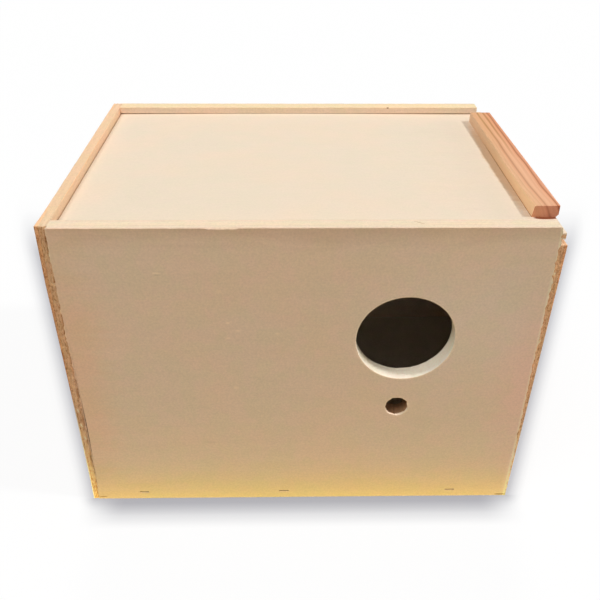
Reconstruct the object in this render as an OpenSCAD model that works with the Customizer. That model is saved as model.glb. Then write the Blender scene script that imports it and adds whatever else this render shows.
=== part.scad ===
// Wooden nest box for parakeets: plywood walls and floor held by staples, with a lid that slides
// out to the right in grooves. The front faces -Y, and the origin is under the box's middle.

/* [Box] */
// Length of the front and back panels, between the side panels
panel_w = 241.3; // [190:0.1:320]
// Depth of the box, from its front face to its back face
box_d = 188.7; // [175:0.1:260]
// Height of the front, back and left side panels
box_h = 179; // [160:0.5:260]

/* [Panels] */
// Thickness of the front and back plywood
panel_t = 9; // [8:0.1:12]
// Thickness of the floor plywood
floor_t = 9; // [8:0.1:12]
// Thickness of the side plywood
side_t = 5.4; // [4:0.1:9]
// Step from the front face back to the side panels' front edges, at the rim
side_step = 2.5; // [0.5:0.1:3]
// The same step at the box's underside, as the sides stand a little askew
side_step_low = 0.3; // [0:0.1:3]

/* [Lid] */
// Thickness of the lid plywood
lid_t = 3.5; // [2.8:0.1:5]
// Step from the rim down to the lid's upper face
lid_drop = 4.7; // [3.5:0.1:9]
// Depth of the lid's groove in the front panel and in the back panel
groove_depth = 6; // [3:0.1:6.5]
// Gap over the lid in its groove
groove_play = 0.7; // [0.2:0.1:1.2]
// Gap between the lid's long edge and the bottom of its groove
lid_edge_play = 0.5; // [0.2:0.1:1.2]
// Gap between the lid's closed end and the left side panel
lid_end_play = 1; // [0.2:0.1:2]
// Step from the right side panel's outer face back to the lid's open end
lid_end_step = 1.1; // [0:0.1:4]
// Gap between the lid's underside and the right side panel
lid_pass = 2.4; // [0.5:0.1:6]

/* [Entry and perch] */
// Diameter of the entry hole
entry_d = 51; // [38:0.1:70]
// Distance of the entry hole's centre from the front panel's right end
entry_from_end = 68.4; // [50:0.1:110]
// Distance of the entry hole's centre below the rim
entry_from_rim = 64; // [52:0.1:80]
// Diameter of the perch hole
perch_d = 12.5; // [8:0.1:20]
// Distance of the perch hole's centre below the entry hole's centre
perch_below_entry = 44.8; // [42:0.1:60]
// Distance of the perch hole's centre to the right of the entry hole's centre
perch_aside = -1.2; // [-8:0.1:8]

/* [Handle] */
// Length of the handle batten
handle_l = 143.5; // [80:0.5:145]
// Width of the handle batten
handle_w = 12.7; // [10:0.1:20]
// Thickness of the handle batten
handle_t = 6.1; // [6:0.1:12]
// Angle of the batten to the lid's end, as it was stuck down by hand
handle_turn = 0.3; // [0:0.1:1]
// Distance of the batten's middle in front of the lid's middle
handle_forward = 1.1; // [-2:0.1:2]
// Step from the right side panel's outer face back to the batten's outer corner
handle_end_step = 0; // [0:0.1:10]

/* [Nest hollow] */
// Diameter of the hollow in the floor
hollow_d = 110; // [80:1:120]
// Depth of the hollow at its middle
hollow_depth = 5; // [3:0.1:6]
// Distance of the hollow's centre from the left side panel
hollow_from_left = 66; // [60:1:110]

/* [Staples] */
// Width of a staple's crown
crown_w = 5.6; // [5:0.1:9]
// Width and thickness of the staple wire
wire = 1; // [0.8:0.1:1.2]
// Length of the legs of the staples in the walls
leg_l = 16; // [13:0.5:19]
// Length of the legs of the staples in the handle
handle_leg_l = 8; // [7:0.1:8.5]
// Depth that the crowns are driven under the surface
crown_sink = 0.5; // [0.2:0.1:0.8]
// Height of the staples in the floor above the box's underside
floor_staple_up = 5.2; // [3.5:0.1:5.5]
// Distance of the front panel's left staple from that end of the panel
front_staple_left = 27.2; // [20:0.1:50]
// Distance of the front panel's right staple from that end of the panel
front_staple_right = 33.1; // [20:0.1:50]
// Distance of the front panel's middle staple to the right of halfway between them
front_staple_aside = -8; // [-20:0.1:20]
// Distance of the back panel's outer staples from its ends
back_staple_inset = 30; // [20:0.1:50]
// Distance of the side panels' outer floor staples from the front and back panels
side_staple_inset = 30; // [15:0.1:50]
// Distance of the corner staples from the front and back faces
corner_staple_in = 5; // [4.5:0.1:6]
// Height of the lowest corner staples
corner_staple_low = 26; // [22:0.5:50]
// Distance of the highest corner staples below the rim
corner_staple_high = 32; // [24:0.5:50]
// Distance of the handle's staples from its ends
handle_staple_inset = 25; // [10:0.5:35]

/* [Hidden] */

// Cuts run this far past the face that they open through
over = 0.1;

// The box in its own frame
front_y = -box_d / 2;
back_y = box_d / 2;
end_x = panel_w / 2;
outer_x = end_x + side_t;
inner_y = back_y - panel_t;

// The lid and its grooves
lid_top = box_h - lid_drop;
lid_bottom = lid_top - lid_t;
lid_edge_y = inner_y + groove_depth - lid_edge_play;
lid_closed_x = -end_x + lid_end_play;
lid_open_x = outer_x - lid_end_step;
right_side_h = lid_bottom - lid_pass;

// The handle batten, turned about its own middle
handle_reach = handle_w / 2 * cos(handle_turn) + handle_l / 2 * sin(handle_turn);
handle_x = outer_x - handle_end_step - handle_reach;

// The holes in the front panel
entry_x = end_x - entry_from_end;
entry_z = box_h - entry_from_rim;
perch_x = entry_x + perch_aside;
perch_z = entry_z - perch_below_entry;

// The hollow is a cap of this sphere
hollow_r = (pow(hollow_d / 2, 2) + pow(hollow_depth, 2)) / (2 * hollow_depth);

// Where the staples stand along each joint
front_staple_ends = [-end_x + front_staple_left, end_x - front_staple_right];
front_staple_middle = (front_staple_ends[0] + front_staple_ends[1]) / 2 + front_staple_aside;
front_staple_x = [front_staple_ends[0], front_staple_middle, front_staple_ends[1]];
back_staple_x = three_between(-end_x + back_staple_inset, end_x - back_staple_inset);
side_staple_y = three_between(-inner_y + side_staple_inset, inner_y - side_staple_inset);
corner_staple_z = three_between(corner_staple_low, box_h - corner_staple_high);
handle_staple_y = [-1, 1] * (handle_l / 2 - handle_staple_inset);

plywood = "#e3cba6";
core_wood = "#b98a5f";
lid_wood = "#f2e2ca";
softwood = "#e0aa80";
steel = "#8c8a86";

function three_between(low, high) = [low, (low + high) / 2, high];

// A staple that is driven down into a face at z = 0, with its crown along X. In a channel cut for
// it, the crown's slot is open up to the face.
module staple(legs, channel = false) {
    half = crown_w / 2;
    crown = -crown_sink;
    opening = channel ? over : crown;
    tip = crown - legs;
    rotate([90, 0, 0])
        linear_extrude(wire, center = true)
            polygon([
                [-half, opening], [half, opening], [half, tip + wire], [half - wire, tip],
                [half - wire, crown - wire], [wire - half, crown - wire],
                [wire - half, tip], [-half, tip + wire]
            ]);
}

// Each of these puts its child at every staple of one joint, driven inwards
module in_front_of_floor()
    for (x = front_staple_x)
        translate([x, front_y, floor_staple_up]) rotate([90, 0, 0]) children();

module behind_floor()
    for (x = back_staple_x)
        translate([x, back_y, floor_staple_up]) rotate([-90, 0, 0]) children();

module beside_floor(side)
    for (y = side_staple_y)
        translate([side * outer_x, y, floor_staple_up]) rotate([0, side * 90, 0]) rotate(90) children();

module on_corner(side, end)
    for (z = corner_staple_z)
        translate([side * outer_x, end * (back_y - corner_staple_in), z])
            rotate([0, side * 90, 0]) children();

module under_handle()
    for (y = handle_staple_y)
        translate([0, y, -lid_t]) rotate([180, 0, 90]) children();

// The handle's own frame: on the lid's upper face, turned about the batten's middle
module on_lid() translate([handle_x, -handle_forward, lid_top]) rotate(handle_turn) children();

// A front or back panel lying with its outer face at -Y, grooved for the lid along its inner face
module grooved_panel()
    difference() {
        translate([-end_x, front_y, 0]) cube([panel_w, panel_t, box_h]);
        translate([-end_x - over, front_y + panel_t - groove_depth, lid_bottom])
            cube([panel_w + 2 * over, groove_depth + over, lid_t + groove_play]);
    }

// A side panel that stands at the left, from behind the front face to the back face. Its front edge
// leans back towards the rim.
module side_blank(height) {
    step_at_top = side_step_low + (side_step - side_step_low) * height / box_h;
    translate([-end_x, 0, 0])
        rotate([90, 0, -90])
            linear_extrude(side_t)
                polygon([
                    [-back_y, 0], [-front_y - side_step_low, 0],
                    [-front_y - step_at_top, height], [-back_y, height]
                ]);
}

module front_panel()
    color(plywood)
        difference() {
            grooved_panel();
            translate([entry_x, front_y - over, entry_z])
                rotate([-90, 0, 0]) cylinder(h = panel_t + 2 * over, d = entry_d, $fn = 96);
            translate([perch_x, front_y - over, perch_z])
                rotate([-90, 0, 0]) cylinder(h = panel_t + 2 * over, d = perch_d, $fn = 48);
            in_front_of_floor() staple(leg_l, channel = true);
            for (side = [-1, 1]) on_corner(side, -1) staple(leg_l, channel = true);
        }

module back_panel()
    color(plywood)
        difference() {
            mirror([0, 1, 0]) grooved_panel();
            behind_floor() staple(leg_l, channel = true);
            for (side = [-1, 1]) on_corner(side, 1) staple(leg_l, channel = true);
        }

module left_side_panel()
    color(core_wood)
        difference() {
            side_blank(box_h);
            beside_floor(-1) staple(leg_l, channel = true);
            for (end = [-1, 1]) on_corner(-1, end) staple(leg_l, channel = true);
        }

module right_side_panel()
    color(core_wood)
        difference() {
            mirror([1, 0, 0]) side_blank(right_side_h);
            beside_floor(1) staple(leg_l, channel = true);
            for (end = [-1, 1]) on_corner(1, end) staple(leg_l, channel = true);
        }

module floor_panel()
    color(plywood)
        difference() {
            translate([-end_x, -inner_y, 0]) cube([panel_w, 2 * inner_y, floor_t]);
            translate([hollow_from_left - end_x, 0, floor_t - hollow_depth + hollow_r])
                sphere(r = hollow_r, $fn = 180);
            in_front_of_floor() staple(leg_l, channel = true);
            behind_floor() staple(leg_l, channel = true);
            for (side = [-1, 1]) beside_floor(side) staple(leg_l, channel = true);
        }

module lid()
    color(lid_wood)
        difference() {
            translate([lid_closed_x, -lid_edge_y, lid_bottom])
                cube([lid_open_x - lid_closed_x, 2 * lid_edge_y, lid_t]);
            on_lid() under_handle() staple(handle_leg_l, channel = true);
        }

module lid_handle()
    color(softwood)
        on_lid()
            difference() {
                translate([-handle_w / 2, -handle_l / 2, 0]) cube([handle_w, handle_l, handle_t]);
                under_handle() staple(handle_leg_l, channel = true);
            }

module front_floor_staples() color(steel) in_front_of_floor() staple(leg_l);
module back_floor_staples() color(steel) behind_floor() staple(leg_l);
module left_floor_staples() color(steel) beside_floor(-1) staple(leg_l);
module right_floor_staples() color(steel) beside_floor(1) staple(leg_l);
module front_left_staples() color(steel) on_corner(-1, -1) staple(leg_l);
module front_right_staples() color(steel) on_corner(1, -1) staple(leg_l);
module back_left_staples() color(steel) on_corner(-1, 1) staple(leg_l);
module back_right_staples() color(steel) on_corner(1, 1) staple(leg_l);
module handle_staples() color(steel) on_lid() under_handle() staple(handle_leg_l);

front_panel();
back_panel();
left_side_panel();
right_side_panel();
floor_panel();
lid();
lid_handle();
front_floor_staples();
back_floor_staples();
left_floor_staples();
right_floor_staples();
front_left_staples();
front_right_staples();
back_left_staples();
back_right_staples();
handle_staples();
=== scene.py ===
import math

import bmesh
import bpy
from mathutils import Matrix, Vector, noise


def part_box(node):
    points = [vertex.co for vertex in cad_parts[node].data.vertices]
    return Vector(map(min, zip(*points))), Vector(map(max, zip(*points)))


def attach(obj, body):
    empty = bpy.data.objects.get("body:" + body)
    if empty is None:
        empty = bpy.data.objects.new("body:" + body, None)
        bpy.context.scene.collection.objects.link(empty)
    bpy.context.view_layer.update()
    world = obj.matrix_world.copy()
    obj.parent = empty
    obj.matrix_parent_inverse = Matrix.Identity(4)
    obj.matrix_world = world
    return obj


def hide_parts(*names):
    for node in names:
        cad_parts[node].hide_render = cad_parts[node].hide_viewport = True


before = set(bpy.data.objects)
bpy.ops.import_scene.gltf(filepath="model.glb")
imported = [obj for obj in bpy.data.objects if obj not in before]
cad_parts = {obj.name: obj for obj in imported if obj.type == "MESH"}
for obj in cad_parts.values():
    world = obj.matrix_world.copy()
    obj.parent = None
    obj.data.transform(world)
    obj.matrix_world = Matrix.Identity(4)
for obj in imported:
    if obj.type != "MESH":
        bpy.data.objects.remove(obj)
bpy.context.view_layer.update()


# The floor is a sheet of five-layer plywood, held by staples through all four walls. A round hollow
# that keeps the eggs together is scooped out of it, so the layers show in the hollow as rings.
MM = 0.001
GLUE_LINE, SWAY = 0.14, 0.35
BIRCH_GLUE = (0.81, 0.6, 0.44)
DARK_CRUMB, LIGHT_CRUMB = (0.66, 0.53, 0.42), (1.25, 1.25, 1.2)
TORN_VENEER, JOINT = (1.0, 0.87, 0.63), (0.57, 0.43, 0.3)
CLOUD_TINT, BLOTCH_TINT = (1.04, 0.965, 0.945), (0.97, 1.005, 0.965)
FIBRE, FIBRE_STRETCH = 0.45, 24
# How much each kind of grain lightens and darkens the wood.
FACE_FIBRE_TONE, SAWN_FIBRE_TONE, PORE_TONE, CRUMB_TONE = 0.08, 0.16, 0.3, 1.6
WAVE_TONE, CLOUD_TONE, FUZZ_TONE = 0.05, 0.06, 0.25
GLOSS, SMALL_FACE, SHARP = 0.3, 4 * MM, math.radians(35)


def five_layers(face, band, core):
    """The mm and the colour of each layer of the thick plywood, from one face to the other."""
    return [(1.5, face), (1.9, band), (2.2, core), (1.9, band), (1.5, face)]


FLOOR_LAYERS = five_layers((0.88, 0.8, 0.67), (0.86, 0.73, 0.57), (0.86, 0.74, 0.58))


class Signal:
    """An output of a node. Sums on it add the Math nodes that they need."""

    def __init__(self, nodes, socket):
        self.nodes = nodes
        self.socket = socket

    def other(self, name):
        """Another output of the same node."""
        return Signal(self.nodes, self.socket.node.outputs[name])

    def math(self, operation, *values):
        return self.nodes.node("ShaderNodeMath", {"operation": operation}, *values)

    def __add__(self, value):
        return self.math("ADD", self, value)

    def __sub__(self, value):
        return self.math("SUBTRACT", self, value)

    def __rsub__(self, value):
        return self.math("SUBTRACT", value, self)

    def __mul__(self, value):
        return self.math("MULTIPLY", self, value)

    def __truediv__(self, value):
        return self.math("DIVIDE", self, value)

    def __abs__(self):
        return self.math("ABSOLUTE", self)

    def at_least(self, value):
        return self.math("MAXIMUM", self, value)

    __radd__ = __add__
    __rmul__ = __mul__


class Nodes:
    """The nodes of a finish or of the daylight."""

    def __init__(self, tree):
        self.tree = tree

    def node(self, kind, settings, *values, out=0, **sockets):
        """Adds a node with its settings and the values or links of its sockets, which come in order
        or by name, and gives the output that out names."""
        made = self.tree.nodes.new(kind)
        for setting, value in settings.items():
            if setting == "stops":
                ramp = made.color_ramp
                while len(ramp.elements) > 1:
                    ramp.elements.remove(ramp.elements[-1])
                for i, (at, colour) in enumerate(value):
                    stop = ramp.elements[0] if i == 0 else ramp.elements.new(at)
                    stop.position = at
                    stop.color = (*colour, 1)
            elif setting == "interpolation":
                made.color_ramp.interpolation = value
            else:
                setattr(made, setting, value)
        named = [(next(s for s in made.inputs if name in (s.identifier, s.name)), value)
                 for name, value in sockets.items()]
        for socket, value in [*zip(made.inputs, values), *named]:
            self.feed(socket, value)
        return Signal(self, made.outputs[out])

    def feed(self, socket, value):
        if isinstance(value, Signal):
            self.tree.links.new(value.socket, socket)
        elif socket.type == "RGBA":
            socket.default_value = (*value, 1)
        else:
            socket.default_value = value

    def axes(self, vector):
        """The three parts of a vector, by axis."""
        x = self.node("ShaderNodeSeparateXYZ", {}, vector)
        return [x, x.other("Y"), x.other("Z")]

    def mix(self, amount, first, second, blend="MIX"):
        return self.node("ShaderNodeMix", {"data_type": "RGBA", "blend_type": blend}, out=2,
                         Factor_Float=amount, A_Color=first, B_Color=second)

    def blend(self, amount, first, second):
        return first + (second - first) * amount

    def rise(self, value, low, high, out_low=0.0, out_high=1.0):
        """Goes smoothly from one level to the other while the value goes from low to high."""
        return self.node("ShaderNodeMapRange", {"interpolation_type": "SMOOTHSTEP"},
                         value, low, high, out_low, out_high)

    def shade(self, colour, brightness):
        return self.node("ShaderNodeVectorMath", {"operation": "SCALE"}, colour, Scale=brightness)

    def in_view(self):
        """1 where the camera, a reflection or glass looks, and 0 where light only bounces."""
        ray = self.node("ShaderNodeLightPath", {}, out="Is Camera Ray")
        return ray.at_least(ray.other("Is Glossy Ray")).at_least(ray.other("Is Transmission Ray"))


class Finish(Nodes):
    """The finish of a piece, which reads the place on the piece in millimetres."""

    def __init__(self, name):
        self.material = bpy.data.materials.new(name)
        self.material.use_nodes = True
        super().__init__(self.material.node_tree)
        self.surface = self.tree.nodes["Principled BSDF"]
        self.spot = self.node("ShaderNodeTexCoord", {}, out="Object")
        self.facing = self.spot.other("Normal")
        self.mm = self.node("ShaderNodeVectorMath", {"operation": "SCALE"}, self.spot, Scale=1000)

    def grain(self, size, detail, rough=0.55, twist=0.0):
        """An uneven pattern whose patches have that size along X, Y and Z, in mm."""
        spot = self.node("ShaderNodeMapping", {}, self.mm, Scale=[1 / s for s in size])
        return self.node("ShaderNodeTexNoise", {}, Vector=spot, Scale=1.0, Detail=detail,
                         Roughness=rough, Distortion=twist)

    def dabbed(self, name):
        """A value that was set on the piece's points under that name."""
        return self.node("ShaderNodeAttribute", {"attribute_name": name}, out="Fac")

    def apply(self, colour, roughness, height):
        """Puts the colour, roughness and height in mm on the piece."""
        lumps = self.node("ShaderNodeBump", {}, Strength=1.0, Distance=MM, Height=height)
        for name, value in {"Base Color": colour, "Roughness": roughness, "Normal": lumps,
                            "Specular IOR Level": GLOSS}.items():
            self.feed(self.surface.inputs[name], value)


def streaked(size, along, stretch):
    """The size of a grain's patches when they are stretched along one axis."""
    return [size * stretch if axis == along else size for axis in range(3)]


def even(size):
    """The size of a grain's patches when they are as long each way."""
    return (size, size, size)


def plywood(name, through, start, layers, glue, grain, figure=1.0, crumbs=0.0, crosscut=(1, 1, 1),
            marks=()):
    """A finish of bare plywood. Its layers are counted in mm from start along the axis through, and
    the fibres of every other layer turn square to the axis grain. Figure is how strongly the wood is
    flecked. Crumbs roughens the edges sawn across the grain, and crosscut tints them."""
    wood = Finish(name)
    across = 3 - through - grain
    place = wood.axes(wood.mm)
    facing = [abs(part) for part in wood.axes(wood.facing)]
    sawn = 1 - facing[through]

    sway = wood.grain(streaked(6, through, 4), detail=2)
    depth = abs(place[through] - start) + (sway - 0.5) * SWAY
    total = sum(thickness for thickness, _ in layers)
    colours, turned, at = [(0.0, layers[0][1])], [(0.0, (0, 0, 0))], 0.0
    for i, ((above, _), (_, colour)) in enumerate(zip(layers, layers[1:]), 1):
        at += above
        colours += [((at - GLUE_LINE / 2) / total, glue), ((at + GLUE_LINE / 2) / total, colour)]
        turned.append((at / total, (i % 2,) * 3))
    share = depth / total
    layer = wood.node("ShaderNodeValToRGB", {"stops": colours, "interpolation": "CONSTANT"}, share)
    cross = wood.node("ShaderNodeValToRGB", {"stops": turned, "interpolation": "CONSTANT"}, share)

    fine_long = wood.grain(streaked(FIBRE, grain, FIBRE_STRETCH), detail=4, rough=0.65)
    fine_cross = wood.grain(streaked(FIBRE, across, FIBRE_STRETCH), detail=4, rough=0.65)
    fibre = wood.blend(cross, fine_long, fine_cross)
    end = wood.blend(cross, facing[grain], facing[across])
    waves = wood.grain(streaked(5, grain, 9), detail=2, twist=0.8)
    clouds = wood.grain(even(38), detail=2)
    fuzz = wood.grain(even(1.1), detail=2)
    blotch = wood.grain(even(9), detail=1)
    pores = wood.grain(even(0.35), detail=2)
    crumb = wood.grain((1.1, 1.3, 2.6), detail=3, rough=0.7)
    crumbly = facing[grain] * crumbs
    torn = wood.rise(wood.dabbed("torn"), 0.25, 0.9)
    stain = wood.dabbed("stain")

    tinted = wood.mix(facing[grain], layer, crosscut, "MULTIPLY")
    tinted = wood.mix(wood.rise(crumb, 0.52, 0.3) * crumbly, tinted, DARK_CRUMB, "MULTIPLY")
    tinted = wood.mix(wood.rise(crumb, 0.56, 0.72) * crumbly, tinted, LIGHT_CRUMB, "MULTIPLY")
    tinted = wood.mix(wood.rise(stain, 0, 1), tinted, TORN_VENEER)
    tinted = wood.mix(wood.rise(stain, 0, -1), tinted, JOINT, "MULTIPLY")
    for centre, reach, tint, soft, how in marks:
        away = wood.node("ShaderNodeVectorMath", {"operation": "SUBTRACT"}, wood.mm, centre)
        away = wood.node("ShaderNodeVectorMath", {"operation": "DIVIDE"}, away, reach)
        away = wood.node("ShaderNodeVectorMath", {"operation": "LENGTH"}, away, out="Value")
        here = wood.rise(away + (waves - 0.5) * min(2 * soft, 0.5), 1 - soft, 1, 1, 0)
        tinted = wood.mix(here, tinted, tint, how)
    tinted = wood.mix(wood.rise(clouds, 0.35, 0.7) * 0.5, tinted, CLOUD_TINT, "MULTIPLY")
    tinted = wood.mix(wood.rise(blotch, 0.35, 0.65) * figure, tinted, BLOTCH_TINT, "MULTIPLY")

    bright = 1 + (fibre - 0.5) * (FACE_FIBRE_TONE + sawn * SAWN_FIBRE_TONE)
    bright += (waves - 0.5) * (WAVE_TONE * figure)
    bright += (clouds - 0.5) * CLOUD_TONE
    bright += (fuzz - 0.5) * (FUZZ_TONE * figure)
    bright -= end * ((pores - 0.5) * PORE_TONE + 0.02)
    bright += sawn * 0.07
    bright += torn * ((crumb - 0.5) * CRUMB_TONE - 0.06)
    height = fibre * (0.03 + sawn * 0.12) + pores * (0.02 + end * 0.1) + crumb * crumbly * 0.5
    wood.apply(wood.shade(tinted, bright), 0.62 + fibre * 0.2, height)
    return wood


def blank(node):
    """The piece as it was cut, from its solid, with each flat face whole."""
    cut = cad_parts[node].data.copy()
    cut.attributes.remove(cut.attributes["custom_normal"])
    piece = bmesh.new()
    piece.from_mesh(cut)
    bpy.data.meshes.remove(cut)
    bmesh.ops.remove_doubles(piece, verts=piece.verts, dist=0.001 * MM)
    bmesh.ops.dissolve_limit(piece, angle_limit=math.radians(0.5), use_dissolve_boundaries=False,
                             verts=piece.verts, edges=piece.edges)
    piece.verts.layers.float.new("torn")
    piece.verts.layers.float.new("stain")
    return piece


def place_piece(piece, node, body, finish):
    """Makes the shaped piece, puts it on its body and gives it its finish. Only the small faces of
    eased and worn edges are shaded smooth."""
    for f in piece.faces:
        f.smooth = len(f.verts) < 5 and max(e.calc_length() for e in f.edges) < SMALL_FACE
    bmesh.ops.triangulate(piece, faces=[f for f in piece.faces if len(f.verts) > 4])
    rounded = [f.smooth for f in piece.faces]
    mesh = bpy.data.meshes.new(node + "_piece")
    piece.to_mesh(mesh)
    piece.free()
    mesh.set_sharp_from_angle(angle=SHARP)
    mesh.polygons.foreach_set("use_smooth", rounded)
    mesh.materials.clear()
    mesh.materials.append(finish.material)
    made = bpy.data.objects.new(node + "_piece", mesh)
    bpy.context.scene.collection.objects.link(made)
    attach(made, body)
    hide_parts(node)


floor_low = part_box("floor_panel")[0]
place_piece(blank("floor_panel"), "floor_panel", "box",
            plywood("floor_plywood", 2, floor_low.z / MM, FLOOR_LAYERS, BIRCH_GLUE, 0))


# The front and the back are sheets of the same plywood. Both are grooved along the inside for the
# lid, and the front has the entry hole and the hole for a perch, bored with a hole saw and a drill.
X, Y, Z = Vector((1, 0, 0)), Vector((0, 1, 0)), Vector((0, 0, 1))
ALL_WAYS, PANEL_EDGES = (X, -X, Y, -Y, Z, -Z), (Z, -Z, X, -X)
HAIR = 0.0001 * MM
PANEL_LAYERS = five_layers((0.885, 0.685, 0.515), (0.9, 0.73, 0.54), (0.89, 0.71, 0.51))
BORE_WOOD, BORE_RIM, BURNT = (1.0, 0.895, 0.735), (1.1, 1.13, 1.12), (0.36, 0.2, 0.1)
ENTRY, ENTRY_R = Vector((52.25, 0, 115)), 25.5
PERCH, PERCH_R = Vector((51.05, 0, 70.2)), 6.25
BETWEEN_HOLES = 80
# The front face's place along Y, the height of the rim, and the sheet's thickness, in mm.
FRONT, RIM, PANEL_THICK = -94.35, 179, 9
SANDED, HOLE_SANDED, WORN_STRIP = 0.3, 0.55, 0.9
CHIPPED_FROM, CHIPPED_TO, CHIP_DEEP = -46, -31.5, 0.5
# How many mm the saw and the drill tore out of a hole's wall, and the share of it at the front rim.
TORN_WALLS = ((ENTRY, ENTRY_R, 0.7, 0.05), (PERCH, PERCH_R, 1.6, 0.6))


def mark(centre, reach, tint, soft, how="MULTIPLY"):
    """An oval mark: its centre and its reach each way in mm, its colour, how much of it is soft rim,
    and how the colour goes over the wood's."""
    return centre, reach, tint, soft, how


def around(hole, radius, tint, soft, how="MULTIPLY"):
    """A mark on a hole's wall and as far round the hole as the radius."""
    return mark(hole, (radius, 1000, radius), tint, soft, how)


def on_front(x, z, half_x, half_z, tint, soft, deep=4):
    """A mark on the front face."""
    return mark((x, FRONT, z), (half_x, deep, half_z), tint, soft)


def on_rim(x, from_front, half_x, half_y, tint, soft, up=0, deep=2):
    """A mark on the top edge of the front panel."""
    return mark((x, FRONT + from_front, RIM + up), (half_x, half_y, deep), tint, soft)


front_marks = [
    # The two holes' clean rims and walls. Deeper in, the drill burnt the wall of the smaller one.
    around(ENTRY, ENTRY_R + 1.4, BORE_RIM, 0.05),
    around(ENTRY, ENTRY_R + 0.2, BORE_WOOD, 0.004, "MIX"),
    around(PERCH, PERCH_R + 1.0, BORE_RIM, 0.16),
    mark(PERCH + (FRONT + PANEL_THICK) * Y, (PERCH_R * 1.2, 14, PERCH_R * 1.2), BURNT, 0.02, "MIX"),
    # Broad tints: the left margin, painted shade darkening the face towards the rim, painted yellow
    # light along the ground, the upper right, and two at the right margin.
    on_front(-124, 98, 30, 120, (1.05, 0.94, 0.88), 0.8),
    # Painted shade, darker towards the rim.
    on_front(0, 184, 300, 18, (0.87, 0.82, 0.78), 0.8),
    # Painted yellow light from the table, along the ground.
    on_front(0, 0, 300, 34, (1.0, 1.0, 0.85), 0.9),
    on_front(80, 125, 70, 60, (1.0, 1.05, 1.1), 0.9),
    on_front(122, -8, 4.5, 62, (1.08, 1.12, 1.2), 0.6),
    on_front(122, 80, 28, 110, (1.06, 0.97, 1.015), 0.9),
    # Short dark lines in the bottom corners.
    on_front(118.5, 1, 4, 0.5, (0.4, 0.32, 0.2), 0.4, deep=3),
    on_front(-118, 1.7, 2.8, 0.4, (0.5, 0.38, 0.26), 0.4, deep=3),
    # A scratch that runs slantwise over the top edge, and that edge's pale front layer.
    on_rim(52.8, 7.1, 1.4, 0.4, (0.75, 0.66, 0.58), 0.5),
    on_rim(54.2, 6.1, 1.4, 0.4, (0.7, 0.6, 0.52), 0.5),
    on_rim(55.6, 4.9, 1.3, 0.4, (0.78, 0.7, 0.62), 0.5),
    on_rim(0, 1.45, 300, 1.4, (1.08, 1.13, 1.16), 0.3, up=0.6, deep=1.2),
]
# Small flecks and faint stains: the place, half the size, and how light each one is.
for x, z, half_x, half_z, pale in (
        (-71.6, 155, 3, 0.6, 1.2), (-71.4, 153.8, 2.6, 0.5, 0.88), (-41.8, 144.6, 2, 2, 1.06),
        (-38.5, 125.8, 1.7, 1, 1.14), (-33.7, 121, 1.7, 0.8, 1.14), (-38.9, 116.5, 1.8, 0.8, 1.12),
        (-13.3, 119, 2, 1.2, 1.08), (-36, 84, 1.8, 1.8, 1.08), (-71.5, 108.6, 1.6, 1, 1.07),
        (-100.7, 108, 1.4, 0.7, 1.14), (-18, 108, 14, 3, 0.985), (-5, 78, 12, 3, 0.985),
        (-53, 44.5, 6, 1.6, 0.95), (20, 139, 6, 2, 1.02), (-20, 96, 9, 6, 1.02),
        (70, 60, 14, 8, 0.99), (-85, 40, 10, 8, 0.99)):
    front_marks.append(on_front(x, z, half_x, half_z, (pale, pale, pale * 0.99), 0.8, deep=3))
back_marks = [
    # The top edge, tinted yellow as painted warm light, the pale inner face, and painted shade for the
    # pin hole in the top edge.
    mark((0, -FRONT - 4.5, RIM), (300, 9, 1.2), (1.04, 1.01, 0.87), 0.3),
    mark((0, -FRONT - PANEL_THICK, 80), (300, 3, 90), (1.08, 1.27, 1.55), 0.9),
    # Painted shade: a dark spot stands for the pin hole.
    mark((59.9, -FRONT - 8.9, RIM - 0.1), even(0.9), (0.42, 0.32, 0.26), 0.4),
]


def sawn_faces(piece, facing):
    """The faces of the sawn edge that points that way, which may lean a little."""
    reach = max(v.co.dot(facing) for v in piece.verts)
    return [f for f in piece.faces if f.normal.dot(facing) > 0.99
            and f.calc_center_median().dot(facing) > reach - 3 * MM]


def outer_plane(piece, facing):
    """A point of the piece's outermost flat face that points that way, and that face's normal."""
    largest = max(sawn_faces(piece, facing), key=lambda f: f.calc_area())
    return largest.calc_center_median(), largest.normal.copy()


def edges_between(piece, facings):
    """The edges that lie on two of the outermost faces that point those ways, so grooves, holes and
    staples' slots are left out."""
    planes = [outer_plane(piece, facing) for facing in facings]

    def on(vertex):
        return {i for i, (point, normal) in enumerate(planes)
                if abs((vertex.co - point).dot(normal)) < 0.003 * MM}

    return [e for e in piece.edges if len(on(e.verts[0]) & on(e.verts[1])) > 1]


def net(piece, facing, pitch_across, pitch_along):
    """Divides a sawn edge into a net fine enough to roughen, with those pitches in mm."""
    faces = sawn_faces(piece, facing)
    spans = sorted((max(v.co[axis] for f in faces for v in f.verts)
                    - min(v.co[axis] for f in faces for v in f.verts), axis)
                   for axis in range(3) if not facing[axis])
    for (span, axis), pitch in zip(spans, (pitch_across, pitch_along)):
        waiting = sawn_faces(piece, facing)
        low = min(v.co[axis] for f in waiting for v in f.verts)
        count = round(span / (pitch * MM))
        for i in range(1, count):
            at = low + span * i / count
            crossed = [f for f in waiting if max(v.co[axis] for v in f.verts) > at]
            edges = list(dict.fromkeys(e for f in crossed for e in f.edges))
            cut = bmesh.ops.bisect_plane(
                piece, geom=crossed + edges, dist=HAIR,
                plane_co=[at if k == axis else 0 for k in range(3)],
                plane_no=[1 if k == axis else 0 for k in range(3)])
            waiting = [g for g in cut["geom"] if isinstance(g, bmesh.types.BMFace)]


def saw_line(piece, point, normal):
    """Divides the whole piece along a plane."""
    bmesh.ops.bisect_plane(piece, geom=piece.verts[:] + piece.edges[:] + piece.faces[:],
                           plane_co=point, plane_no=normal, dist=HAIR)


def border(piece, facings, width):
    """Divides the sheet a little way inside the sawn edges that point those ways, so that their wear
    stays on them."""
    for facing in facings:
        point, normal = outer_plane(piece, facing)
        saw_line(piece, point - normal * width * MM, normal)


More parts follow.
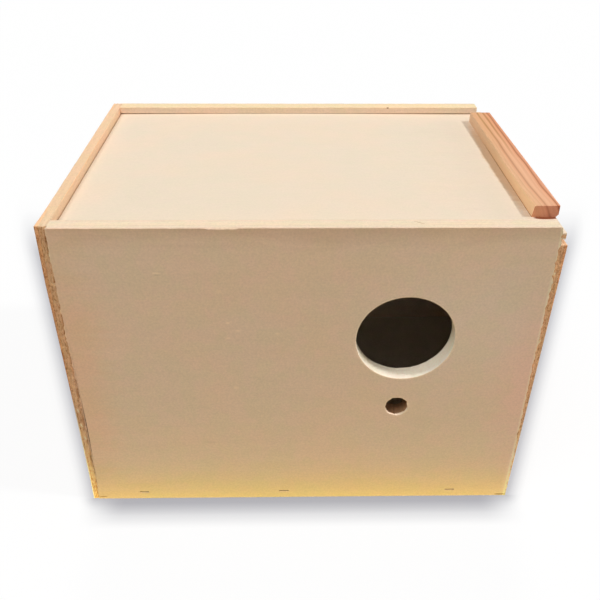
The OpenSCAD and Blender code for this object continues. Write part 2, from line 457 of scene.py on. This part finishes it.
def ease(piece, edges, radius, segments=2):
    """Takes the sharpness off edges."""
    bmesh.ops.bevel(piece, geom=edges, offset=radius * MM, offset_type="OFFSET", segments=segments,
                    profile=0.5, affect="EDGES", material=-1, clamp_overlap=True)


def wear(piece, facings, loss, stained=None):
    """Takes wood off the sawn edges that point those ways. loss gives the mm that go at a place in mm,
    and stained how light the place is, from -1 for a dark joint to 1 for torn pale fibres."""
    torn, stain = piece.verts.layers.float["torn"], piece.verts.layers.float["stain"]
    planes = [outer_plane(piece, facing) for facing in facings]
    for v in piece.verts:
        place = v.co / MM
        for facing, (point, normal) in zip(facings, planes):
            if (v.co - point).dot(normal) > -WORN_STRIP / 2 * MM:
                gone = loss(place, facing)
                v.co -= facing * gone * MM
                v[torn] = max(v[torn], abs(gone))
                if stained:
                    v[stain] = stained(place, facing)


def uneven(place, size, seed=0.0):
    """A smooth wander between about -1 and 1, over that size in mm."""
    return noise.noise(place / size + Vector((seed, seed * 0.7, -seed)))


def upright(place):
    """The place's height alone, so that what wanders with it runs straight through the sheet."""
    return Vector((0, 0, place.z))


def ragged(place, facing):
    """How the cut across the ends wanders from one height to the next."""
    height = upright(place)
    return uneven(height, 2.6, facing.x) + 0.7 * uneven(height, 0.9, 7) + 0.5 * uneven(height, 14, 3)


def fringe(place, facing):
    """The mm that the torn front veneer stands out over the joint with a side. It is worst low down
    on the right, and on the left it has broken off short of the joint below the middle."""
    right = 0.8 * max(0, 1 - place.z / 70) if facing.x > 0 else 0.0
    left = 1.25 * max(0, 1 - ((place.z - 56) / 50) ** 2) if facing.x < 0 else 0.0
    return max(0, 0.35 + 0.2 * facing.x + right + 0.8 * ragged(place, facing)) - left


def panel_loss(place, facing):
    """The mm that are worn off a panel's sawn edges."""
    return 0.05 + 0.05 * uneven(place, 2) + 0.2 * max(0, uneven(place, 5, 3))


def front_loss(place, facing):
    """The same for the front, with its fringe of torn veneer and the chip in its top edge."""
    inward = place.y - FRONT
    gone = panel_loss(place, facing)
    if facing.x:
        gone += max(0, 1 - inward / 2.4) * (0.15 + 0.4 * max(0, ragged(place, facing)))
        if inward < 0.5:
            gone = -fringe(place, facing)
    if facing.z > 0 and CHIPPED_FROM < place.x < CHIPPED_TO and inward < 0.8:
        gone += CHIP_DEEP
    return gone


def front_stain(place, facing):
    """How pale the fringe is, and how dark the joint is where the fringe has broken off."""
    if not facing.x or place.y - FRONT >= 0.5:
        return 0.0
    over = fringe(place, facing)
    if over > 0:
        return 0.5 + 1.2 * over
    return max(-0.5, 1.2 * over) * (0.6 + 0.5 * uneven(upright(place), 5, 4))


def at_front_rim(place):
    """Whether the place is on the front rim of one of the two holes."""
    centre, radius = (ENTRY, ENTRY_R) if place.z > BETWEEN_HOLES else (PERCH, PERCH_R)
    spoke = place - Vector((centre.x, FRONT, centre.z))
    return abs(place.y - FRONT) < 0.01 and abs(spoke.length - radius) < 0.1


def tear_holes(sheet):
    """Eases the holes' front rims and tears wood out of their walls, more of it further in."""
    ease(sheet, [e for e in sheet.edges if all(at_front_rim(v.co / MM) for v in e.verts)],
         HOLE_SANDED)
    for v in sheet.verts:
        for centre, radius, most, least in TORN_WALLS:
            spoke = Vector((v.co.x / MM - centre.x, 0, v.co.z / MM - centre.z))
            if abs(spoke.length - radius) < 0.7:
                inside = (v.co.y / MM - FRONT) / PANEL_THICK
                rough = most * max(least, inside) * max(0, uneven(spoke, 1.9, 8))
                v.co -= spoke.normalized() * rough * MM


for node, marks, loss, stained in (("front_panel", front_marks, front_loss, front_stain),
                                   ("back_panel", back_marks, panel_loss, None)):
    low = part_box(node)[0]
    sheet = blank(node)
    net(sheet, Z, 0.75, 1.5)
    if node == "front_panel":
        net(sheet, X, 1.0, 1.2)
        net(sheet, -X, 1.0, 1.2)
        tear_holes(sheet)
    ease(sheet, edges_between(sheet, ALL_WAYS), SANDED)
    border(sheet, PANEL_EDGES, WORN_STRIP)
    wear(sheet, PANEL_EDGES, loss, stained)
    place_piece(sheet, node, "box",
                plywood(node + "_plywood", 1, low.y / MM, PANEL_LAYERS, BIRCH_GLUE, 0, marks=marks))


# The sides are of a thinner, light tropical plywood. They lap over the ends of the front and back,
# stapled to them, with their edges left rough from the saw and the front ends planed off by hand.
SIDE_LAYERS = [(0.9, (0.77, 0.59, 0.44)), (1.6, (0.87, 0.635, 0.43)), (1.4, (0.85, 0.6, 0.385)),
               (1.5, (0.96, 0.59, 0.34))]
SIDE_GLUE, SIDE_CROSSCUT = (0.83, 0.55, 0.35), (0.97, 0.86, 0.77)
SIDE_EDGES = (-Y, Z, Y)
# From here the left side's values are under -1 and the right side's under 1.
INNER = {-1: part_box("left_side_panel")[1].x / MM, 1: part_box("right_side_panel")[0].x / MM}
OUTER = {-1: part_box("left_side_panel")[0].x / MM, 1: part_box("right_side_panel")[1].x / MM}
# The height that the planing starts from, and how far it runs back along both sides.
PLANED_FROM, PLANED_BACK = {-1: 130, 1: 170}, 16
# How far out the joint's dark line runs, for each mm that the edge lies behind the front face.
SEAM_LEAN = {-1: 0.37, 1: 0.43}
# The dark stretches of that line: the height, half the length, and how dark each one is.
SEAMS = {-1: ((173, 5, 1.0), (149, 4, 0.9), (121, 9, 1.2), (104, 9, 0.7), (8, 12, 0.7)),
         1: ((170, 9, 0.8), (150, 12, 0.9), (128, 12, 0.7), (100, 14, 0.6), (72, 16, 0.8),
             (30, 20, 0.7))}
# Pale splinters on the edge: the height, and the mm out from the joint.
SPLINTERS = {-1: ((67.5, 3.1), (57, 3.0), (47.5, 2.0), (147, 0.8)),
             1: ((152, 1.8), (112, 2.6), (60, 1.6))}


def planed(place, side):
    """The mm that a side's outer face stands in near its front edge, where it was planed by hand."""
    height = max(0, place.z / PLANED_FROM[side])
    back = max(0, 1 - (place.y - FRONT) / PLANED_BACK)
    if side > 0:
        return 4.3 * max(0, 1 - height) * back
    return max(-0.5, 2.3 * (1 - height ** 1.5)) * back


def side_loss(place, facing):
    """The mm that the saw took off a side's edge. It tore pits into the front edge at the joint."""
    side = -1 if place.x < 0 else 1
    rough = 0.12 + 0.15 * uneven(place, 1.2) + 0.15 * uneven(place, 4, 5)
    if facing.y < 0:
        rough *= min(1, 0.2 + abs(place.x - OUTER[side]) / 1.2)
        pit = max(0, uneven(upright(place), 9, side * 4) + 0.2)
        rough += 2.4 * pit * max(0, 1 - abs(place.x - INNER[side]) / 1.6)
    return rough


def side_stain(place, facing):
    """How pale or dark the front edge is: the joint's dark line, the splinters, and the outer rim,
    which is pale low down on the left side with a thin dark line along it."""
    if facing.y > 0 or facing.z:
        return 0.0
    side = -1 if place.x < 0 else 1
    outward = abs(place.x - INNER[side])
    to_rim = abs(OUTER[side] - INNER[side]) - outward
    seam = max(0, 1 - abs(outward - SEAM_LEAN[side] * (place.y - FRONT) - 0.3) / 0.6)
    dark = max(depth * (1 - ((place.z - height) / reach) ** 2) for height, reach, depth in SEAMS[side])
    dark = max(0.15, dark) + 0.35 * uneven(upright(place), 1.6, 9)
    splinter = max(1 - ((place.z - height + out - outward) / 1.5) ** 2 - ((outward - out) / 1.2) ** 2
                   for height, out in SPLINTERS[side])
    low_down = max(0, min(1, (78 - place.z) / 12)) if side < 0 else 0.3
    rim = max(0, 1 - to_rim / 0.9) * (1.8 * low_down - 0.5)
    line = 0.6 * low_down * max(0, 1 - abs(to_rim - 1.2) / 0.4)
    return max(-1, min(1, max(0, 1.1 * splinter) + rim - line - seam * max(0, dark)))


for node, side in (("left_side_panel", -1), ("right_side_panel", 1)):
    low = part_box(node)[0]
    sheet = blank(node)
    net(sheet, -Y, 0.4, 1.0)
    net(sheet, Z, 0.6, 1.5)
    ease(sheet, edges_between(sheet, ALL_WAYS), SANDED)
    border(sheet, SIDE_EDGES, WORN_STRIP)
    border(sheet, (-Y,), PLANED_BACK)
    wear(sheet, SIDE_EDGES, side_loss, side_stain)
    for v in sheet.verts:
        share = abs(v.co.x / MM - INNER[side]) / abs(OUTER[side] - INNER[side])
        v.co.x -= side * planed(v.co / MM, side) * share * MM
    # Painted warm light from the table on each side's front edge, low down.
    marks = [mark((OUTER[side], FRONT, -12), (14, 4, 75), (1.28, 1.34, 1.18), 0.9),
             mark((OUTER[side], FRONT, 10), (14, 4, 60), (1.25, 1.3, 1.25), 0.6)]
    if side < 0:
        # The left side's inner layer has an even colour on top, and painted shade darkens it just under
        # the rim, where it meets the lid.
        marks += [mark((INNER[side], 3, RIM), (9, 96, 0.9), (0.885, 0.605, 0.385), 0.1, "MIX"),
                  mark((INNER[side], 0, 175), (0.6, 200, 5), (1.0, 0.88, 0.77), 0.5)]
    place_piece(sheet, node, "box",
                plywood(node + "_plywood", 0, low.x / MM, SIDE_LAYERS if side > 0 else SIDE_LAYERS[::-1],
                        SIDE_GLUE, 1, crumbs=1.35, crosscut=SIDE_CROSSCUT, marks=marks))


# The staples are bent from galvanised wire. A gun drove them through the walls into the floor, and
# through the sides into the front and back, until their crowns lay just under the surface.
WIRE_ROUND = 0.16
DULL_ZINC, BRIGHT_ZINC = (0.2, 0.135, 0.055), (0.34, 0.24, 0.11)
steel = Finish("staple_steel")
scratches = steel.grain(even(0.4), detail=3)
zinc = steel.grain(even(2.5), detail=2)
steel.apply(steel.mix(zinc, DULL_ZINC, BRIGHT_ZINC), 0.42 + scratches * 0.2, scratches * 0.02)
steel.feed(steel.surface.inputs["Metallic"], 1.0)
for joint, side in (("front_floor", 0), ("back_floor", 0), ("left_floor", 0), ("right_floor", 0),
                    ("front_left", -1), ("front_right", 1), ("back_left", 0), ("back_right", 0)):
    wires = blank(joint + "_staples")
    ease(wires, list(wires.edges), WIRE_ROUND)
    if side:
        # These sit in the planed ends of the sides, so they follow them in.
        for v in wires.verts:
            v.co.x -= side * planed(v.co / MM, side) * MM
    place_piece(wires, joint + "_staples", "box", steel)


# The lid is a thin pale plywood sheet. It slides in the grooves of the front and back, over the top
# of the right side, until it meets the left side. It has bowed up a little along its length.
LID_FACE = (0.9, (0.88, 0.74, 0.577))
LID_LAYERS, LID_GLUE = [LID_FACE, (1.7, (0.76, 0.48, 0.28)), LID_FACE], (0.5, 0.32, 0.19)
LID_TOP = 174.3
# The height of the bow in mm, how many strips it is bent in, and the share of the length it takes.
BOW, BOW_STRIPS, BOWED = 0.45, 24, 0.9
LONGER_AT_LEFT = 0.55
lid_low, lid_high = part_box("lid")


def on_lid(x, y, half_x, half_y, tint, soft):
    """A mark on the lid's top."""
    return mark((x, y, LID_TOP), (half_x, half_y, 3), tint, soft)


lid_marks = [
    # Painted shade on the lid at the handle's front end, and a painted shadow on the lid along the
    # handle's left side.
    on_lid(119.7, -74.2, 7.0, 2.2, (0.26, 0.09, 0.04), 0.3),
    # Painted shadow of the handle on the lid, reaching under it.
    on_lid(111.5, -2, 5.2, 80, (0.83, 0.68, 0.54), 0.5),
    # Broad tints: the right end, the back and the front.
    on_lid(130, 0, 70, 200, (1.0, 0.975, 0.975), 0.9),
    on_lid(0, 82, 300, 22, (1.03, 1.02, 1.02), 0.9),
    on_lid(-20, -82, 130, 30, (1.02, 1.01, 1.0), 0.9),
]


def lid_loss(place, facing):
    """The mm that are worn off the lid's edges. Its left end reaches further than the solid's."""
    return max(0, 0.08 + 0.1 * uneven(place, 2)) - LONGER_AT_LEFT * (facing.x < 0)


lid_sheet = blank("lid")
net(lid_sheet, X, 0.6, 1.2)
ease(lid_sheet, edges_between(lid_sheet, ALL_WAYS), SANDED)
for i in range(1, BOW_STRIPS):
    saw_line(lid_sheet, X * (lid_low.x + (lid_high.x - lid_low.x) * i / BOW_STRIPS), X)
wear(lid_sheet, (X, -X, Y, -Y), lid_loss)
for v in lid_sheet.verts:
    along = (v.co.x - lid_low.x) / (lid_high.x - lid_low.x)
    v.co.z += BOW * MM * max(0, math.sin(math.pi * min(1, along / BOWED)))
place_piece(lid_sheet, "lid", "lid",
            plywood("lid_plywood", 2, lid_low.z / MM, LID_LAYERS, LID_GLUE, 0, figure=0.4,
                    marks=lid_marks))


# The handle is a planed softwood batten, stuck down and stapled from below at the lid's open end.
# It was cut near the heart of the tree, so its growth rings run along it as dark lines.
PEACH = (0.855, 0.52, 0.315)
WANE, SOFT_ARRIS, ARRIS = 1.4, 0.65, 0.4
# How far the left face leans out at its foot, and how much longer the front end is, in mm.
LEAN, LONGER_AT_FRONT = 1.0, 0.7
batten = blank("lid_handle")
low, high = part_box("lid_handle")
ease(batten, edges_between(batten, (X, -Z)), WANE, 3)
ease(batten, edges_between(batten, (-X, Z)), SOFT_ARRIS, 4)
net(batten, Z, 0.8, 2.5)
ease(batten, edges_between(batten, ALL_WAYS), ARRIS)
for v in batten.verts:
    forward = (high.y - v.co.y) / (high.y - low.y)
    left = max(0, 1 - (v.co.x - low.x) / (3 * MM))
    down = (high.z - v.co.z) / (high.z - low.z)
    v.co.x -= LEAN * MM * forward * left * down
    if forward > 0.98:
        v.co.y -= (LONGER_AT_FRONT + 0.25 * uneven(v.co / MM, 3.5)) * MM

# The rings lie side by side across the top, and slant down through the batten. Two of them are dark
# lines, and fainter ones join them towards the back.
RING_SPAN, RING_SLANT = 14.0, 0.5
RINGS = [
    (0.0, (0.82, 0.5, 0.28)), (0.1, PEACH), (0.16, (0.79, 0.46, 0.26)), (0.21, PEACH),
    (0.28, (0.83, 0.46, 0.27)), (0.345, (0.6, 0.3, 0.17)), (0.41, (0.86, 0.5, 0.3)),
    (0.5, (0.91, 0.54, 0.34)), (0.59, (0.83, 0.46, 0.28)), (0.66, (0.88, 0.5, 0.31)),
    (0.73, (0.82, 0.41, 0.23)), (0.765, (0.5, 0.2, 0.09)), (0.79, (0.54, 0.22, 0.11)),
    (0.835, (0.78, 0.38, 0.22)), (0.9, (0.83, 0.42, 0.26)), (0.98, (0.66, 0.31, 0.18)),
]
FAINT_RINGS, BACK_TONE = (0.7, 0.62, 0.42), (0.95, 0.9, 0.8)
TOP_TONE, SIDE_PAINTED_LIGHT, END_TONE = (0.955, 0.9, 0.85), (0.99, 1.08, 1.12), (0.87, 0.65, 0.61)
END_CORNER, FOOT_SHADE = (0.85, 0.85, 0.85), (0.5, 0.44, 0.34)
pine = Finish("softwood")
x, y, z = pine.axes(pine.mm)
facing_x, facing_y, facing_z = [abs(part) for part in pine.axes(pine.facing)]
drift = pine.grain((14, 60, 14), detail=2)
fibres = pine.grain((0.4, 18, 0.4), detail=4, rough=0.65)
ring_place = (x - low.x / MM + (z - high.z / MM) * RING_SLANT + (drift - 0.5) * 2.6
              - pine.rise(y, -45, -76, 0, 1.3)) / RING_SPAN
wood = pine.node("ShaderNodeValToRGB", {"stops": RINGS}, ring_place)
wood = pine.mix(pine.rise(y, 0, 65) * pine.rise(ring_place, 0.5, 0.42), wood, PEACH)
faint = (pine.rise(ring_place, 0.23, 0.31) * pine.rise(ring_place, 0.38, 0.32)
         + pine.rise(ring_place, 0.5, 0.58) * pine.rise(ring_place, 0.66, 0.6)) * pine.rise(y, -25, 50)
wood = pine.mix(faint, wood, FAINT_RINGS, "MULTIPLY")
wood = pine.mix(pine.rise(y, -40, 60) * (1 - facing_x), wood, BACK_TONE, "MULTIPLY")
wood = pine.mix(facing_z, wood, TOP_TONE, "MULTIPLY")
# Painted light: the handle's sides are tinted lighter and less orange than the top.
wood = pine.mix(facing_x, wood, SIDE_PAINTED_LIGHT, "MULTIPLY")
wood = pine.mix(facing_y, wood, END_TONE, "MULTIPLY")
wood = pine.mix(facing_y * pine.rise(x, 118, 124), wood, END_CORNER, "MULTIPLY")
# Painted shade along the foot of the handle's sides, where they meet the lid.
foot = pine.rise(z, 175.2, 174.5) * facing_x * pine.rise(y, 60, -10)
wood = pine.mix(foot, wood, FOOT_SHADE, "MULTIPLY")
# The fibres, and painted light that lightens the handle's sides, most towards the front end.
bright = 1 + (fibres - 0.5) * 0.3 + facing_x * pine.rise(y, 40, -60, 0.1, 0.45)
pine.apply(pine.shade(wood, bright), 0.55 + fibres * 0.2, fibres * 0.08)
place_piece(batten, "lid_handle", "lid", pine)
wires = blank("handle_staples")
ease(wires, list(wires.edges), WIRE_ROUND)
place_piece(wires, "handle_staples", "lid", steel)


# The box stands on a plain white table, which is no part of it. The table's own colour carries the
# soft grey shade beside and in front of the box, and warm light comes up from it in front.
# How far inside the box's outline the warm light starts, in mm.
TUCKED_IN = 4
footprint = Vector((252.1 / 2 - TUCKED_IN, 188.7 / 2 - TUCKED_IN, 0))
# The shade's edge along the box at the left and right, and how it leans out towards the back.
LEFT_EDGE, LEFT_SLOPE, RIGHT_EDGE, RIGHT_SLOPE = -123.3, 0.397, 122.8, 0.446
WIDENING, SHADE_LENGTH = 0.00194, 300
SIDE_REACH, FRONT_REACH = 14, 24
REAL_SHADOW = 0.08
WARM_TABLE, GOLDEN = (0.4, 0.29, 0.15), (1.0, 0.84, 0.0)
table = Finish("table")
x, y, z = table.axes(table.mm)
behind = y - FRONT
ahead = (behind * -1.0).at_least(0.0)
beside_left = LEFT_EDGE - x - behind * LEFT_SLOPE
beside_right = x - RIGHT_EDGE - behind * RIGHT_SLOPE
beside = beside_left.at_least(beside_right).at_least(0.0) / (1 + behind.at_least(0.0) * WIDENING)
past = ahead.at_least((behind - SHADE_LENGTH) * 0.1)
skirt = table.node("ShaderNodeMath", {"operation": "SQRT"}, beside * beside + past * past)


def greys(levels, reach):
    """The settings of a shade on the white table, from pairs of a distance in mm and a level. The
    shade is a little blue."""
    return {"stops": [(at / reach, (level, level + 0.005 * (1 - level), level + 0.07 * (1 - level)))
                      for at, level in levels]}


side_shade = table.node("ShaderNodeValToRGB", greys([
    (0, 0.558), (1.2, 0.62), (2.4, 0.7), (4.2, 0.79), (6.6, 0.905), (9.6, 0.985), (13.2, 1)],
    SIDE_REACH), skirt / SIDE_REACH)
front_shade = table.node("ShaderNodeValToRGB", greys([
    (0, 0.36), (1.6, 0.385), (3.9, 0.4), (6.3, 0.475), (8.6, 0.55), (11, 0.64), (13.3, 0.745),
    (15.7, 0.805), (18, 0.87), (20.4, 0.94), (22.7, 0.985)], FRONT_REACH), ahead / FRONT_REACH)
in_front = table.rise(abs(x), 132, 104) * table.rise(behind, 0.5, 0)
soft_shade = table.mix(in_front, side_shade, front_shade, "DARKEN")
white = table.node("ShaderNodeEmission", {}, Color=soft_shade, Strength=1.0)
shadowed = table.node("ShaderNodeBsdfDiffuse", {}, Color=(0.98, 0.98, 0.98))
pale = table.node("ShaderNodeMixShader", {}, REAL_SHADOW, white, shadowed)

corner = table.node("ShaderNodeVectorMath", {"operation": "ABSOLUTE"}, table.mm)
corner = table.node("ShaderNodeVectorMath", {"operation": "SUBTRACT"}, corner, footprint)
corner = table.node("ShaderNodeVectorMath", {"operation": "MAXIMUM"}, corner, (0, 0, 0))
away = table.node("ShaderNodeVectorMath", {"operation": "LENGTH"}, corner, out="Value")
golden = table.shade(GOLDEN, table.rise(away, 0, 56, 0.8, 0) * table.rise(y, -55, -93))
glow = table.node("ShaderNodeEmission", {}, Color=golden, Strength=1.0)
warm = table.node("ShaderNodeBsdfDiffuse", {}, Color=WARM_TABLE)
lit = table.node("ShaderNodeAddShader", {}, warm, glow)
both = table.node("ShaderNodeMixShader", {}, table.in_view(), lit, pale)
table.feed(table.tree.nodes["Material Output"].inputs["Surface"], both)

top = bmesh.new()
bmesh.ops.create_circle(top, cap_ends=True, segments=64, radius=3.0)
mesh = bpy.data.meshes.new("table_top")
top.to_mesh(mesh)
top.free()
mesh.materials.append(table.material)
table_top = bpy.data.objects.new("table_top", mesh)
bpy.context.scene.collection.objects.link(table_top)


# The daylight is a pale sky and four soft lamps, of which the right one casts the sharpest shadow.
# The sky is white where it is seen, and lights the box with only a part of that.
SKY_LIGHT = 0.22
world = bpy.data.worlds.new("daylight")
bpy.context.scene.world = world
world.use_nodes = True
daylight = Nodes(world.node_tree)
background = daylight.tree.nodes["Background"]
daylight.feed(background.inputs["Color"], (1, 1, 1))
daylight.feed(background.inputs["Strength"], SKY_LIGHT + daylight.in_view() * (1 - SKY_LIGHT))
# The light that each lamp gives a level face, the lamp's width in degrees, and the way towards it.
for name, level_light, width, towards in (("ceiling_lamp", 0.343, 26, (-0.42, -0.36, 1.0)),
                                          ("right_lamp", 0.36, 5, (0.88, -0.12, 1.0)),
                                          ("low_lamp", 0.03, 30, (1.0, 0.0, 0.11)),
                                          ("front_lamp", 0.035, 30, (-0.1, -1.0, 0.75))):
    lamp = bpy.data.lights.new(name, "SUN")
    towards = Vector(towards).normalized()
    lamp.energy = level_light * math.pi / towards.z
    lamp.angle = math.radians(width)
    hung = bpy.data.objects.new(name, lamp)
    bpy.context.scene.collection.objects.link(hung)
    hung.rotation_euler = towards.to_track_quat("Z", "Y").to_euler()


# The camera stands in front of the box and looks down on it, as the photograph's did.
LENS, SENSOR = 43.52, 36.0
EYE = Vector((-0.00849, -0.39706, 0.33185))
PITCH, YAW, ROLL = math.radians(32.441), math.radians(1.189), math.radians(0.408)
view = bpy.data.cameras.new("photograph")
view.lens = LENS
view.sensor_width = SENSOR
view.sensor_fit = "HORIZONTAL"
camera = bpy.data.objects.new("photograph", view)
bpy.context.scene.collection.objects.link(camera)
camera.matrix_world = (Matrix.Translation(EYE) @ Matrix.Rotation(-YAW, 4, "Z")
                       @ Matrix.Rotation(math.pi / 2 - PITCH, 4, "X") @ Matrix.Rotation(ROLL, 4, "Z"))
bpy.context.scene.camera = camera
bpy.context.scene.view_settings.view_transform = "Standard"
